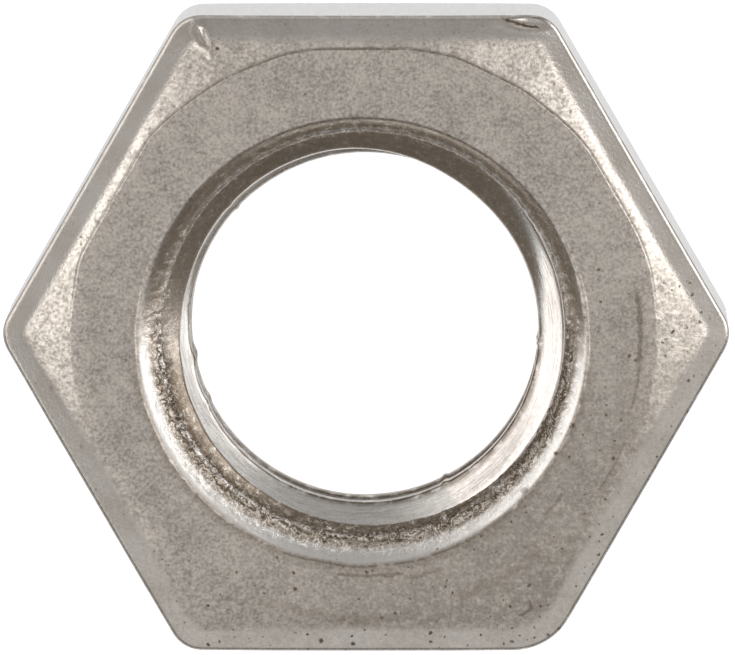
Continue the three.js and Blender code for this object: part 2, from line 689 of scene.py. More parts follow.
    def shade_lines(self, angle: np.ndarray, radius: np.ndarray) -> np.ndarray:
        """Painted shade lines on the upper face: along its own edge, strongest on the side away from the viewer; just
        outside the rim, on the side nearer the viewer; and at the end of the shoulder.

        Args:
            angle: the columns of the mesh, in radians.
            radius: distance from the axis.

        Returns:
            The strength of the line on one ring.
        """
        away = np.sin(angle)
        step = np.exp(-(((radius - self.blank.face_edge(angle)) / 0.03) ** 2))
        rim = np.exp(-(((radius - self.bore.rim_radius(angle, True) - 0.055) / 0.045) ** 2))
        end = ease(0.075, 0.02, self.blank.outline(angle, 0.0) - radius)
        step = step * (0.08 + 0.85 * ease(0.35, 0.75, away))
        return np.clip(step + rim * ease(0.15, -0.35, away) + 0.9 * end, 0, 1)

    def outer_masks(self, angle: np.ndarray, radius: np.ndarray) -> dict[Zone, np.ndarray]:
        """Masks on an end face and its shoulder.

        Args:
            angle: the columns of the mesh, in radians.
            radius: distance from the axis.

        Returns:
            The masks of one ring.
        """
        inset = self.blank.outline(angle, 0.0) - radius
        edge = ease(0.9, 0.6, inset)
        side = ease(0.06, 0.0, inset)
        return {Zone.EDGE: edge, Zone.SIDE: side}

    def build(self, finish: "StainlessSteel") -> bpy.types.Object:
        """Make the nut, dress it and tie it to its node.

        Args:
            finish: the steel that the nut is made of.

        Returns:
            The finished piece.
        """
        piece = bpy.data.objects.new("nut_body", self.mesh())
        bpy.context.scene.collection.objects.link(piece)
        piece.data.materials.append(finish.material(self.blank.height))
        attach(piece, "root")
        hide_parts(self.node)
        LOG.info("%s: %d faces", piece.name, len(piece.data.polygons))
        return piece


def zipped(here: range, there: range, z: np.ndarray) -> list[Sequence[int]]:
    """Triangles between two columns whose rows need not match.

    Args:
        here: vertices of one column, from the top down.
        there: vertices of the next column, from the top down.
        z: height of every vertex.

    Returns:
        The triangles, facing the axis.
    """
    found: list[Sequence[int]] = []
    a, b = 0, 0
    while a < len(here) - 1 or b < len(there) - 1:
        down_a = z[here[a + 1]] if a < len(here) - 1 else -1.0
        down_b = z[there[b + 1]] if b < len(there) - 1 else -1.0
        if down_a >= down_b:
            found.append((here[a], there[b], here[a + 1]))
            a += 1
        else:
            found.append((here[a], there[b], there[b + 1]))
            b += 1
    return found


# ------------------------------------------------------------- shader helpers


Feed = bpy.types.NodeSocket | float | tuple[float, ...]


class Graph:
    """A node tree with short calls for the nodes that the finishes use."""

    def __init__(self, tree: bpy.types.NodeTree) -> None:
        """Work on the given tree."""
        self.tree = tree

    def node(self, kind: str, **settings: str | bool) -> bpy.types.Node:
        """Add a node and set its options."""
        made = self.tree.nodes.new(kind)
        for name, value in settings.items():
            setattr(made, name, value)
        return made

    def feed(self, socket: bpy.types.NodeSocket, value: Feed) -> None:
        """Link a socket to another one, or give it a constant."""
        if isinstance(value, bpy.types.NodeSocket):
            self.tree.links.new(value, socket)
        else:
            socket.default_value = value

    def math(self, operation: str, *values: Feed, clamp: bool = False) -> bpy.types.NodeSocket:
        """Add a math node.

        Args:
            operation: name of the operation.
            values: its operands.
            clamp: whether the result stays between 0 and 1.

        Returns:
            The result.
        """
        made = self.node("ShaderNodeMath", operation=operation, use_clamp=clamp)
        for socket, value in zip(made.inputs, values):
            self.feed(socket, value)
        return made.outputs[0]

    def step(self, value: Feed, low: Feed, high: Feed) -> bpy.types.NodeSocket:
        """Smooth step from 0 at low to 1 at high, which may be below low."""
        made = self.node("ShaderNodeMapRange", interpolation_type="SMOOTHSTEP")
        for name, given in (("Value", value), ("From Min", low), ("From Max", high)):
            self.feed(made.inputs[name], given)
        return made.outputs[0]

    def scaled(self, vector: Feed, by: Feed) -> bpy.types.NodeSocket:
        """Multiply a vector by a number."""
        made = self.node("ShaderNodeVectorMath", operation="SCALE")
        self.feed(made.inputs["Vector"], vector)
        self.feed(made.inputs["Scale"], by)
        return made.outputs["Vector"]

    def joined(self, x: Feed, y: Feed, z: Feed) -> bpy.types.NodeSocket:
        """Make a vector from three numbers."""
        made = self.node("ShaderNodeCombineXYZ")
        for socket, value in zip(made.inputs, (x, y, z)):
            self.feed(socket, value)
        return made.outputs[0]

    def parted(self, vector: Feed) -> tuple[bpy.types.NodeSocket, ...]:
        """Split a vector into three numbers."""
        made = self.node("ShaderNodeSeparateXYZ")
        self.feed(made.inputs[0], vector)
        return tuple(made.outputs)

    def noise(self, vector: Feed, scale: Feed, detail: float = 2.0, rough: float = 0.5) -> bpy.types.NodeSocket:
        """Add a noise texture and give its value, which spreads about 0.5."""
        made = self.node("ShaderNodeTexNoise")
        for name, given in (("Vector", vector), ("Scale", scale), ("Detail", detail), ("Roughness", rough)):
            self.feed(made.inputs[name], given)
        return made.outputs["Fac"]

    def blend(self, share: Feed, first: Feed, second: Feed) -> bpy.types.NodeSocket:
        """Mix two colours."""
        made = self.node("ShaderNodeMix", data_type="RGBA")
        self.feed(made.inputs["Factor"], share)
        self.feed(made.inputs[6], first)
        self.feed(made.inputs[7], second)
        return made.outputs[2]

    def mask(self, zone: Zone) -> bpy.types.NodeSocket:
        """Read one of the mesh's masks."""
        made = self.node("ShaderNodeAttribute", attribute_name=zone.value)
        return made.outputs["Fac"]

    def place(self, group: bpy.types.NodeTree, **values: Feed) -> bpy.types.Node:
        """Add a node group and feed its inputs, whose names have _ for each space."""
        made = self.node("ShaderNodeGroup", node_tree=group)
        for name, value in values.items():
            self.feed(made.inputs[name.replace("_", " ")], value)
        return made


class Effect:
    """A shader node group with named inputs and outputs, built once."""

    name = "effect"
    inputs: dict[str, Socket] = {}
    outputs: dict[str, Socket] = {}

    @classmethod
    def group(cls) -> bpy.types.NodeTree:
        """Find the group, or build it the first time."""
        if cls.name in bpy.data.node_groups:
            return bpy.data.node_groups[cls.name]
        tree = bpy.data.node_groups.new(cls.name, "ShaderNodeTree")
        for name, kind in cls.inputs.items():
            tree.interface.new_socket(name, in_out="INPUT", socket_type=kind.value)
        for name, kind in cls.outputs.items():
            tree.interface.new_socket(name, in_out="OUTPUT", socket_type=kind.value)
        graph = Graph(tree)
        given = graph.node("NodeGroupInput").outputs
        found = graph.node("NodeGroupOutput").inputs
        for name, value in cls.wire(graph, given).items():
            graph.feed(found[name], value)
        return tree

    @classmethod
    def wire(cls, graph: Graph, given: bpy.types.NodeOutputs) -> dict[str, bpy.types.NodeSocket]:
        """Lay the nodes of the effect.

        Args:
            graph: the group's own tree.
            given: the group's inputs, by name.

        Returns:
            What feeds each output, by name.
        """
        raise NotImplementedError


class Grain(Effect):
    """Blotchy tumbled grain: fine mottling over broader clouds."""

    name = "tumbled_grain"
    inputs = {"Place": Socket.VECTOR, "Fine Scale": Socket.NUMBER, "Cloud Scale": Socket.NUMBER}
    outputs = {"Tone": Socket.NUMBER, "Height": Socket.NUMBER}

    @classmethod
    def wire(cls, graph: Graph, given: bpy.types.NodeOutputs) -> dict[str, bpy.types.NodeSocket]:
        """Mix three noises into a tone, and keep the fine one as height."""
        fine = graph.noise(given["Place"], given["Fine Scale"], 2.0, 0.6)
        cloud = graph.noise(given["Place"], given["Cloud Scale"], 3.0, 0.6)
        middle = graph.noise(given["Place"], graph.math("MULTIPLY", given["Fine Scale"], 0.4), 2.0, 0.6)
        both = graph.math("MULTIPLY_ADD", fine, 0.5, graph.math("MULTIPLY", cloud, 0.24))
        both = graph.math("MULTIPLY_ADD", middle, 0.26, both)
        return {"Tone": graph.step(both, 0.33, 0.65), "Height": fine}


class Pits(Effect):
    """Scattered specks and shallow pits of one size."""

    name = "scattered_pits"
    inputs = {"Place": Socket.VECTOR, "Per Mm": Socket.NUMBER, "Share": Socket.NUMBER, "Radius": Socket.NUMBER}
    outputs = {"Mask": Socket.NUMBER}

    @classmethod
    def wire(cls, graph: Graph, given: bpy.types.NodeOutputs) -> dict[str, bpy.types.NodeSocket]:
        """Keep some cells of a Voronoi pattern and draw a ragged spot in each."""
        wobble = graph.node("ShaderNodeVectorMath", operation="MULTIPLY_ADD")
        noise = graph.node("ShaderNodeTexNoise")
        graph.feed(noise.inputs["Vector"], given["Place"])
        noise.inputs["Scale"].default_value = 11.0
        graph.feed(wobble.inputs[0], noise.outputs["Color"])
        wobble.inputs[1].default_value = (0.12, 0.12, 0.12)
        graph.feed(wobble.inputs[2], given["Place"])
        cells = graph.node("ShaderNodeTexVoronoi")
        graph.feed(cells.inputs["Vector"], wobble.outputs[0])
        graph.feed(cells.inputs["Scale"], given["Per Mm"])
        draw = graph.parted(cells.outputs["Color"])
        reach = graph.math("MULTIPLY", graph.math("MULTIPLY", given["Radius"], given["Per Mm"]),
                           graph.math("MULTIPLY_ADD", draw[1], 0.9, 0.5))
        spot = graph.step(cells.outputs["Distance"], reach, graph.math("MULTIPLY", reach, 0.35))
        kept = graph.math("LESS_THAN", draw[0], given["Share"])
        return {"Mask": graph.math("MULTIPLY", spot, kept)}


class ToolLines(Effect):
    """Fine lines that a cutting tool leaves round the axis."""

    name = "tool_lines"
    inputs = {"Radius": Socket.NUMBER, "Height": Socket.NUMBER, "Turn": Socket.NUMBER, "Lines": Socket.NUMBER}
    outputs = {"Value": Socket.NUMBER}

    @classmethod
    def wire(cls, graph: Graph, given: bpy.types.NodeOutputs) -> dict[str, bpy.types.NodeSocket]:
        """Stretch a noise along the turn."""
        across = graph.math("MULTIPLY", given["Radius"], given["Lines"])
        along = graph.math("MULTIPLY", given["Height"], given["Lines"])
        spread = graph.joined(across, along, graph.math("MULTIPLY", given["Turn"], 1.6))
        return {"Value": graph.noise(spread, 1.0, 4.0, 0.7)}


class SurfaceMark(Effect):
    """One scratch, rub mark or arc of painted shade on the upper face, straight or bent, with ragged edges."""

    name = "surface_mark"
    inputs = {"Place": Socket.VECTOR, "Ragged": Socket.NUMBER, "X": Socket.NUMBER, "Y": Socket.NUMBER,
              "Turn": Socket.NUMBER, "Half Length": Socket.NUMBER, "Half Width": Socket.NUMBER,
              "Bend": Socket.NUMBER}
    outputs = {"Mask": Socket.NUMBER}

    @classmethod
    def wire(cls, graph: Graph, given: bpy.types.NodeOutputs) -> dict[str, bpy.types.NodeSocket]:
        """Measure along and across the mark, and fade out at its sides and ends."""
        x, y, _ = graph.parted(given["Place"])
        right = graph.math("SUBTRACT", x, given["X"])
        away = graph.math("SUBTRACT", y, given["Y"])
        cosine = graph.math("COSINE", given["Turn"])
        sine = graph.math("SINE", given["Turn"])
        along = graph.math("MULTIPLY_ADD", right, cosine, graph.math("MULTIPLY", away, sine))
        across = graph.math("SUBTRACT", graph.math("MULTIPLY", away, cosine), graph.math("MULTIPLY", right, sine))
        sag = graph.math("MULTIPLY", graph.math("MULTIPLY", along, along), given["Bend"])
        ragged = given["Ragged"]
        drift = graph.math("MULTIPLY", ragged, graph.math("MULTIPLY", given["Half Width"], 3.0))
        off = graph.math("ABSOLUTE", graph.math("ADD", graph.math("SUBTRACT", across, sag), drift))
        side = graph.step(off, given["Half Width"], graph.math("MULTIPLY", given["Half Width"], 0.3))
        reach = graph.math("MULTIPLY_ADD", ragged, 0.5, graph.math("ABSOLUTE", along))
        end = graph.step(reach, given["Half Length"], graph.math("MULTIPLY", given["Half Length"], 0.7))
        return {"Mask": graph.math("MULTIPLY", side, end)}


class SoftPanel(Effect):
    """A soft-edged bright patch of the surroundings, placed by bearing and tilt in degrees."""

    name = "soft_panel"
    inputs = {"Bearing": Socket.NUMBER, "Tilt": Socket.NUMBER, "Middle": Socket.NUMBER, "Half Width": Socket.NUMBER,
              "Centre": Socket.NUMBER, "Half Depth": Socket.NUMBER, "Soft": Socket.NUMBER}
    outputs = {"Value": Socket.NUMBER}

    @classmethod
    def wire(cls, graph: Graph, given: bpy.types.NodeOutputs) -> dict[str, bpy.types.NodeSocket]:
        """Fade out sideways and up and down."""
        gap = graph.math("RADIANS", graph.math("SUBTRACT", given["Bearing"], given["Middle"]))
        aside = graph.math("DEGREES", graph.math("ARCCOSINE", graph.math("COSINE", gap)))
        above = graph.math("ABSOLUTE", graph.math("SUBTRACT", given["Tilt"], given["Centre"]))
        wide = graph.step(aside, graph.math("ADD", given["Half Width"], given["Soft"]), given["Half Width"])
        deep = graph.step(above, graph.math("ADD", given["Half Depth"], given["Soft"]), given["Half Depth"])
        return {"Value": graph.math("MULTIPLY", wide, deep)}


# ------------------------------------------------------------------- the steel


@dataclass(frozen=True)
class Mark:
    """A scratch, rub mark or arc of painted shade on the upper face, in millimetres.

    Attributes:
        at: its middle, to the right and away from the viewer.
        turn: bearing of its length, in degrees.
        half_length: half its length.
        half_width: half its width.
        bend: how fast it curves to its left.
        strength: how dark it is.
    """

    at: tuple[float, float]
    turn: float
    half_length: float
    half_width: float
    bend: float = 0.0
    strength: float = 0.8


def arc_mark(radius: float, bearing: float, half_length: float, half_width: float, strength: float) -> Mark:
    """Mark that runs round the nut's axis.

    Args:
        radius: distance from the axis.
        bearing: its middle, in degrees from +X.
        half_length: half its length.
        half_width: half its width.
        strength: how dark it is.

    Returns:
        The mark.
    """
    turn = math.radians(bearing)
    middle = (radius * math.cos(turn), radius * math.sin(turn))
    return Mark(middle, bearing + 90.0, half_length, half_width, 0.5 / radius, strength)


@dataclass(frozen=True)
class StainlessSteel:
    """Plain bright stainless, tumbled grey on the faces and stained in the countersink.

    Attributes:
        steel: colour of clean metal.
        dull: colour of the duller patches in it.
        darker_tone: colour of the face's darker lower right and of the mottling on the flats.
        drawn: colour of the flats.
        drawn_dark: colour of the streaks down them.
        bright: colour of rubbed edges, of the painted highlight inside the upper rim and of the painted glints in the
            torn zone.
        cut: colour of the freshly cut flank.
        cut_dull: colour of the same flank where it is dull.
        stain: colour of the brown film in the countersink.
        dirt_and_shade: colour in pits and scratches, of a darker patch deep in the cone, and of painted shade along
            edges, in the torn creases and in two arcs on the face.
        roughness: roughness of the faces.
        marks: scratches and rub marks on the upper face, and two faint arcs of painted shade along its edge.
    """

    steel: tuple[float, float, float, float] = (0.67, 0.606, 0.54, 1.0)
    dull: tuple[float, float, float, float] = (0.285, 0.257, 0.226, 1.0)
    darker_tone: tuple[float, float, float, float] = (0.30, 0.26, 0.22, 1.0)
    drawn: tuple[float, float, float, float] = (0.49, 0.49, 0.495, 1.0)
    drawn_dark: tuple[float, float, float, float] = (0.30, 0.295, 0.29, 1.0)
    bright: tuple[float, float, float, float] = (0.80, 0.77, 0.74, 1.0)
    cut: tuple[float, float, float, float] = (0.80, 0.74, 0.70, 1.0)
    cut_dull: tuple[float, float, float, float] = (0.66, 0.64, 0.61, 1.0)
    stain: tuple[float, float, float, float] = (0.30, 0.24, 0.18, 1.0)
    dirt_and_shade: tuple[float, float, float, float] = (0.11, 0.082, 0.055, 1.0)
    roughness: float = 0.34
    marks: tuple[Mark, ...] = (
        Mark((4.62, 9.23), -14.0, 0.66, 0.06, 0.14, 1.0),
        Mark((5.2, 9.4), -10.0, 0.32, 0.04, -0.2, 0.9),
        arc_mark(8.17, 2.0, 1.3, 0.11, 0.65),
        arc_mark(8.2, -9.0, 1.1, 0.07, 0.5),
        arc_mark(8.35, 332.0, 1.1, 0.06, 0.45),
        # The next two faint, wide arcs are painted shade along the bearing face's edge on the side nearer the viewer.
        arc_mark(8.3, 300.0, 1.8, 0.16, 0.22),
        arc_mark(8.5, 262.0, 2.6, 0.2, 0.28),
        Mark((4.79, -8.3), 35.0, 0.3, 0.06, 0.3, 0.6),
        Mark((4.9, -8.12), 95.0, 0.2, 0.05, 0.0, 0.5),
        arc_mark(7.2, 271.0, 1.2, 0.08, 0.6),
        arc_mark(7.35, 284.0, 0.6, 0.1, 0.45),
        arc_mark(7.55, 318.0, 0.5, 0.08, 0.5),
        Mark((4.72, -4.66), 40.0, 0.16, 0.13, 0.0, 0.7),
        Mark((-7.4, 2.1), 62.0, 0.7, 0.02, 0.05, 0.35),
        Mark((-2.6, -8.2), 12.0, 0.9, 0.02, -0.05, 0.3),
        Mark((7.6, 3.0), 118.0, 0.6, 0.02, 0.08, 0.35),
    )

    def material(self, top: float) -> bpy.types.Material:
        """Build the material.

        Args:
            top: height of the upper face, in millimetres.

        Returns:
            The material.
        """
        material = bpy.data.materials.new("nut_steel")
        material.use_nodes = True
        graph = Graph(material.node_tree)
        shader = material.node_tree.nodes["Principled BSDF"]
        shader.inputs["Metallic"].default_value = 1.0
        place = graph.scaled(graph.node("ShaderNodeTexCoord").outputs["Object"], 1 / MM)
        x, y, z = graph.parted(place)
        turn = graph.math("ARCTAN2", y, x)
        radius = graph.math("SQRT", graph.math("MULTIPLY_ADD", x, x, graph.math("MULTIPLY", y, y)))
        zone = {name: graph.mask(name) for name in Zone}

        grain = graph.place(Grain.group(), Place=place, Fine_Scale=10.0, Cloud_Scale=1.1).outputs
        cut = graph.place(ToolLines.group(), Radius=radius, Height=z, Turn=turn, Lines=26.0).outputs[0]
        drawn = self.drawn_lines(graph, turn, z)
        dirt_and_shade = self.dirt_and_shade_mask(graph, place, x, y, z, top)
        # Painted shade lines at the face's edge, the rim, the shoulder's end and beside the thread's crest, broken up
        # by noise.
        seam = graph.math("MULTIPLY", zone[Zone.SEAM], graph.step(graph.noise(place, 3.0, 3.0, 0.6), 0.2, 0.55))
        bare = graph.math("SUBTRACT", 1.0, graph.math("MULTIPLY", zone[Zone.SIDE], 0.7))
        dirt_and_shade = graph.math("MULTIPLY", graph.math("MULTIPLY", dirt_and_shade, bare), graph.math("SUBTRACT", 1.0, zone[Zone.BORE]))
        rubbed = graph.step(graph.noise(place, 0.7, 2.0, 0.5), 0.1, 0.8)
        wear = graph.math("MULTIPLY", zone[Zone.EDGE], graph.math("MULTIPLY_ADD", zone[Zone.BORE], 0.5, rubbed))
        torn = graph.noise(self.torn_place(graph, place, turn, z), 1.0, 4.0, 0.7)
        # Painted shade in the hollows of the torn zone.
        crease_shade = graph.math("MULTIPLY", graph.step(torn, 0.53, 0.44), graph.step(zone[Zone.TORN], 0.25, 0.7))
        film = self.film_mask(graph, zone, turn, place)

        smoother = graph.math("MULTIPLY_ADD", zone[Zone.EDGE], -0.6, 1.0)
        tone = graph.math("MULTIPLY_ADD", graph.math("SUBTRACT", grain["Tone"], 0.5), smoother, 0.5)
        colour = graph.blend(tone, self.dull, self.steel)
        lines = graph.step(cut, 0.5, 0.62)
        fresh = graph.blend(zone[Zone.DULL], self.cut, self.cut_dull)
        fresh = graph.blend(graph.math("MULTIPLY", lines, 0.45), fresh, self.stain)
        colour = graph.blend(zone[Zone.FLANK], colour, fresh)
        # Darker towards the lower right of the face, in patches, weaker on the shoulders.
        darker_tone = graph.step(graph.math("MULTIPLY_ADD", x, 0.6, graph.math("MULTIPLY", y, -0.8)), 2.0, 9.5)
        patches = graph.step(graph.noise(place, 4.2, 4.0, 0.8), 0.68, 0.34)
        darker_tone = graph.math("MULTIPLY", darker_tone, graph.math("MULTIPLY_ADD", zone[Zone.EDGE], -0.6, 0.8))
        colour = graph.blend(graph.math("MULTIPLY", darker_tone, patches), colour, self.darker_tone)
        colour = graph.blend(film, colour, self.stain)
        share = graph.math("MULTIPLY_ADD", zone[Zone.BORE], 0.55, 0.3)
        colour = graph.blend(graph.math("MULTIPLY", wear, share), colour, self.bright)
        # Painted highlight on the cone just inside the upper rim, on the side nearer the viewer.
        colour = graph.blend(self.painted_cone_highlight(graph, turn, radius, z, top), colour, self.bright)
        streaks = graph.math("MULTIPLY", graph.step(drawn, 0.62, 0.4), 0.28)
        flats = graph.blend(streaks, self.drawn, self.drawn_dark)
        flats = graph.blend(graph.math("MULTIPLY", grain["Tone"], 0.25), flats, self.darker_tone)
        colour = graph.blend(zone[Zone.SIDE], colour, flats)
        # Painted glints on the raised ridges of the torn zone.
        painted_glint = graph.math("MULTIPLY", graph.step(torn, 0.57, 0.64), graph.step(zone[Zone.TORN], 0.2, 0.6))
        colour = graph.blend(painted_glint, colour, self.bright)
        # Painted shade in the torn zone's hollows.
        colour = graph.blend(crease_shade, colour, self.dirt_and_shade)
        # Darker patch deep in the cone, on the side nearer the viewer.
        inner = graph.math("MULTIPLY", self.cone_mask(graph, zone), graph.step(radius, 6.12, 5.98))
        inner = graph.math("MULTIPLY", inner, graph.step(graph.math("SINE", turn), 0.15, -0.25))
        inner = graph.math("MULTIPLY", inner, graph.step(graph.noise(place, 5.0, 4.0, 0.7), 0.36, 0.5))
        colour = graph.blend(graph.math("MULTIPLY", inner, 0.8), colour, self.dirt_and_shade)
        # Pits and marks, among them two arcs of painted shade.
        colour = graph.blend(dirt_and_shade, colour, self.dirt_and_shade)
        # Painted shade lines in the dirt-and-shade colour.
        colour = graph.blend(graph.math("MULTIPLY", seam, 0.85), colour, self.dirt_and_shade)
        graph.feed(shader.inputs["Base Color"], colour)

        rough = graph.math("MULTIPLY_ADD", grain["Tone"], -0.06, self.roughness + 0.03)
        rough = graph.math("MULTIPLY_ADD", zone[Zone.EDGE], -0.09, rough)
        rough = graph.math("MULTIPLY_ADD", zone[Zone.FLANK], -0.07, rough)
        rough = graph.math("MULTIPLY_ADD", zone[Zone.DULL], 0.1, rough)
        rough = graph.math("MULTIPLY_ADD", zone[Zone.BORE], -0.08, rough)
        rough = graph.math("MULTIPLY_ADD", film, 0.1, rough)
        rough = graph.math("MULTIPLY_ADD", dirt_and_shade, 0.25, rough, clamp=True)
        graph.feed(shader.inputs["Roughness"], rough)

        height = self.relief(graph, zone, place, grain["Height"], cut, drawn, torn)
        bump = graph.node("ShaderNodeBump")
        bump.inputs["Distance"].default_value = MM * MM
        graph.feed(bump.inputs["Height"], height)
        graph.feed(shader.inputs["Normal"], bump.outputs["Normal"])
        return material

    def drawn_lines(self, graph: Graph, turn: Feed, z: Feed) -> bpy.types.NodeSocket:
        """Upright lines that the forging die drew down the flats."""
        across = graph.math("MULTIPLY", turn, 75.0)
        return graph.noise(graph.joined(across, graph.math("MULTIPLY", z, 0.35), 0.0), 1.0, 5.0, 0.75)

    def cone_mask(self, graph: Graph, zone: dict[Zone, Feed]) -> bpy.types.NodeSocket:
        """Where the bore is neither face nor thread."""
        return graph.math("MULTIPLY", zone[Zone.BORE], graph.math("SUBTRACT", 1.0, zone[Zone.FLANK]))

    def film_mask(self, graph: Graph, zone: dict[Zone, Feed], turn: Feed, place: Feed) -> bpy.types.NodeSocket:
        """Brown film over the cone, thickest on the side away from the viewer."""
        side = graph.step(graph.math("SINE", graph.math("ADD", turn, 0.1)), -0.2, 0.25)
        patchy = graph.step(graph.noise(place, 4.5, 5.0, 0.75), 0.34, 0.56)
        cone = self.cone_mask(graph, zone)
        amount = graph.math("MULTIPLY_ADD", side, 0.78, graph.math("MULTIPLY", zone[Zone.TORN], 0.5), clamp=True)
        return graph.math("MULTIPLY", graph.math("MULTIPLY", cone, amount), patchy)

    def painted_cone_highlight(self, graph: Graph, turn: Feed, radius: Feed, z: Feed, top: float) -> bpy.types.NodeSocket:
        """Painted highlight: a bright band just inside the upper rim, on the side nearer the viewer.

        Args:
            graph: the material's tree.
            turn: place round the axis, in radians.
            radius: distance from the axis, in millimetres.
            z: height, in millimetres.
            top: height of the upper face.

        Returns:
            The mask.
        """
        band = graph.math("MULTIPLY", graph.step(z, top - 0.32, top - 0.2), graph.step(z, top - 0.01, top - 0.06))
        inside = graph.math("MULTIPLY", band, graph.step(radius, 7.3, 7.1))
        near = graph.step(graph.math("SINE", turn), 0.1, -0.2)
        return graph.math("MULTIPLY", graph.math("MULTIPLY", inside, near), 0.65)

    def dirt_and_shade_mask(self, graph: Graph, place: Feed, x: Feed, y: Feed, z: Feed, top: float) -> bpy.types.NodeSocket:
        """Pits, specks and the single marks, which only lie on the upper face; two faint arcs among the marks are
        painted shade.

        Args:
            graph: the material's tree.
            place: position on the nut, in millimetres.
            x: its first part.
            y: its second part.
            z: its third part.
            top: height of the upper face.

        Returns:
            The mask.
        """
        small = graph.place(Pits.group(), Place=place, Per_Mm=4.6, Share=0.4, Radius=0.05).outputs[0]
        corner = graph.math("SUBTRACT", graph.math("MULTIPLY", x, 0.6), graph.math("MULTIPLY", y, 0.8))
        worse = graph.step(corner, 0.0, 7.0)
        more = graph.math("MULTIPLY_ADD", worse, 0.56, 0.05)
        small = graph.math("MULTIPLY", small, graph.math("MULTIPLY_ADD", worse, 0.45, 0.5))
        specks = graph.place(Pits.group(), Place=place, Per_Mm=2.3, Share=more, Radius=0.075).outputs[0]
        total = graph.math("MAXIMUM", small, graph.math("MULTIPLY", specks, 0.95))
        upper = graph.step(z, top - 0.9, top - 0.5)
        ragged = graph.math("SUBTRACT", graph.noise(place, 7.0, 4.0, 0.7), 0.5)
        for mark in self.marks:
            line = graph.place(SurfaceMark.group(), Place=place, Ragged=ragged, X=mark.at[0], Y=mark.at[1],
                               Turn=math.radians(mark.turn), Half_Length=mark.half_length,
                               Half_Width=mark.half_width, Bend=mark.bend).outputs[0]
            line = graph.math("MULTIPLY", graph.math("MULTIPLY", line, upper), mark.strength)
            total = graph.math("MAXIMUM", total, line)
        return total

    def torn_place(self, graph: Graph, place: Feed, turn: Feed, z: Feed) -> bpy.types.NodeSocket:
        """Coordinates for the torn metal's creases, which lean across the cone now one way, now the other."""
        lean = graph.math("MULTIPLY", graph.noise(place, 2.2, 2.0), 16.0)
        return graph.joined(graph.math("MULTIPLY_ADD", turn, 30.0, lean), graph.math("MULTIPLY", z, 9.0), 0.0)

    def relief(self, graph: Graph, zone: dict[Zone, Feed], place: Feed, grain: Feed,
               cut: Feed, drawn: Feed, torn: Feed) -> bpy.types.NodeSocket:
        """Fine height of the surface, in thousandths of a millimetre.

        Args:
            graph: the material's tree.
            zone: the mesh's masks.
            place: position on the nut, in millimetres.
            grain: the fine grain.
            cut: lines left by the tap and the countersink.
            drawn: lines down the flats.
            torn: creases of the torn metal.

        Returns:
            The height.
        """
        plain = graph.math("SUBTRACT", 1.0, zone[Zone.FLANK])
        height = graph.math("MULTIPLY", graph.math("MULTIPLY", grain, plain), 5.0)
        height = graph.math("MULTIPLY_ADD", graph.noise(place, 0.55, 2.0), 9.0, height)
        height = graph.math("MULTIPLY_ADD", graph.math("MULTIPLY", cut, zone[Zone.BORE]), 2.6, height)
        height = graph.math("MULTIPLY_ADD", graph.math("MULTIPLY", drawn, zone[Zone.SIDE]), 9.0, height)
        return graph.math("MULTIPLY_ADD", graph.math("MULTIPLY", torn, zone[Zone.TORN]), 70.0, height)


# ------------------------------------------------------------------ the studio


@dataclass(frozen=True)
class Softbox:
    """A soft lamp that looks at the nut.

    Attributes:
        name: name of the lamp.
        bearing: direction it stands in, in degrees from +X.
        tilt: how far it stands from straight above, in degrees.
        width: size across, in metres.
        depth: size in the direction of the tilt, in metres.
        glow: brightness of its face.
    """

    name: str
    bearing: float
    tilt: float
    width: float
    depth: float
    glow: float
    distance: float = 0.5

    def build(self, target: Vector) -> bpy.types.Object:
        """Hang the lamp.

        Args:
            target: the point that it looks at.

        Returns:
            The lamp.
        """
        bearing = math.radians(self.bearing)
        tilt = math.radians(self.tilt)
        towards = Vector((math.sin(tilt) * math.cos(bearing), math.sin(tilt) * math.sin(bearing), math.cos(tilt)))
        across = Vector((-math.sin(bearing), math.cos(bearing), 0))
        lamp = bpy.data.lights.new(self.name, "AREA")
        lamp.shape = "RECTANGLE"
        lamp.size = self.width
        lamp.size_y = self.depth
        lamp.energy = self.glow * math.pi * self.width * self.depth
        rig = bpy.data.objects.new(self.name, lamp)
        rig.matrix_world = framed(target + towards * self.distance, across, towards)
        bpy.context.scene.collection.objects.link(rig)
        return rig


@dataclass(frozen=True)
class Panel:
    """A soft bright patch of the surroundings.

    Attributes:
        bearing: direction of its middle, in degrees from +X.
        tilt: how far its middle lies from straight above, in degrees.
        half_width: half its width, in degrees.
        half_depth: half its size in the direction of the tilt, in degrees.
        glow: brightness that it adds.
        soft: width of its faded border, in degrees.
    """

    bearing: float
    tilt: float
    half_width: float
    half_depth: float
    glow: float
    soft: float = 12.0


def framed(place: Vector, right: Vector, back: Vector) -> Matrix:
    """Matrix of something that looks against back with right to its right.

    Args:
        place: where it stands.
        right: its own X axis, roughly.
        back: its own Z axis.

    Returns:
        The matrix.
    """
    back = back.normalized()
    up = back.cross(right).normalized()
    right = up.cross(back).normalized()
    return Matrix.Translation(place) @ Matrix((right, up, back)).transposed().to_4x4()


